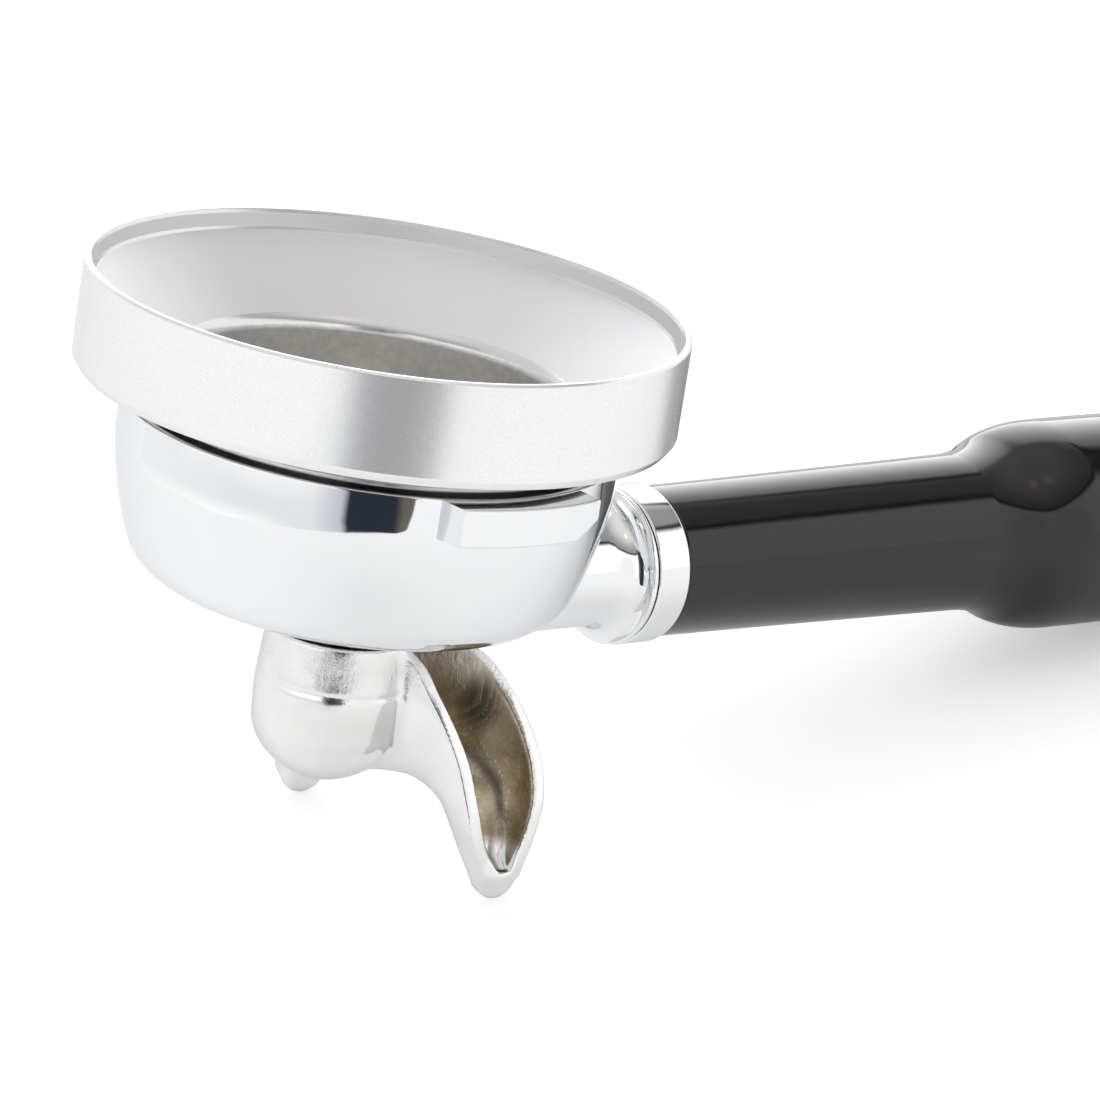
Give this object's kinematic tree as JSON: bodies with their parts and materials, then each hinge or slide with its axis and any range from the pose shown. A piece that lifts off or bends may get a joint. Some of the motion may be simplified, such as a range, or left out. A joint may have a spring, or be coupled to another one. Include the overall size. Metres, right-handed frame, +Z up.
{
  "type": "portafilter",
  "caption": "Chromed espresso portafilter with a filter basket, a double pouring spout, a black grip and a lift-off aluminium dosing funnel, resting on its spout tips and grip.",
  "frame": {"origin": "centre of the bounding box footprint, on the table that the spout tips and the end of the grip rest on", "axes": "+Z up from the table, +X towards the end of the handle, +Y completes the right-handed set; the basket axis leans 9.46 degrees from +Z towards +X"},
  "size_m": [0.2142, 0.0896, 0.0964],
  "materials": {
    "body_chrome": "mirror-polished chrome plate on a brass forging",
    "collar_chrome": "polished chrome plate on turned brass",
    "spout_nickel": "polished nickel-chrome plate on a brass casting, bare warm metal inside the channels",
    "basket_steel": "drawn stainless steel, satin inside",
    "spring_steel": "drawn stainless spring wire",
    "funnel_aluminium": "fine bead-blasted clear anodised aluminium with a bright cut rim",
    "bolt_steel": "zinc-plated steel",
    "washer_steel": "zinc-plated steel",
    "seal_rubber": "black rubber sealing ring",
    "grip_black": "glossy black moulded thermoset",
    "plug_black": "glossy black moulded plastic"
  },
  "bodies": {
    "holder": {"portafilter_body": "body_chrome", "basket_retaining_spring": "spring_steel", "spout_seal": "seal_rubber", "handle_collar": "collar_chrome", "handle_grip": "grip_black", "handle_bolt": "bolt_steel", "flat_washer": "washer_steel", "spring_washer": "washer_steel", "end_plug": "plug_black"},
    "basket": {"filter_basket": "basket_steel"},
    "funnel": {"dosing_funnel": "funnel_aluminium"},
    "spout": {"double_spout": "spout_nickel"}
  },
  "joints": [
    {"name": "basket_lift", "type": "slide", "parent": "holder", "child": "basket", "axis": [0.1643, 0, 0.9864], "range_m": [0, 0.03]},
    {"name": "funnel_lift", "type": "slide", "parent": "basket", "child": "funnel", "axis": [0.1643, 0, 0.9864], "range_m": [0, 0.025]},
    {"name": "spout_turn", "type": "hinge", "parent": "holder", "child": "spout", "pos_m": [-0.06954, 0, 0.03527], "axis": [0.1643, 0, 0.9864], "range_deg": [-360, 0]}
  ]
}
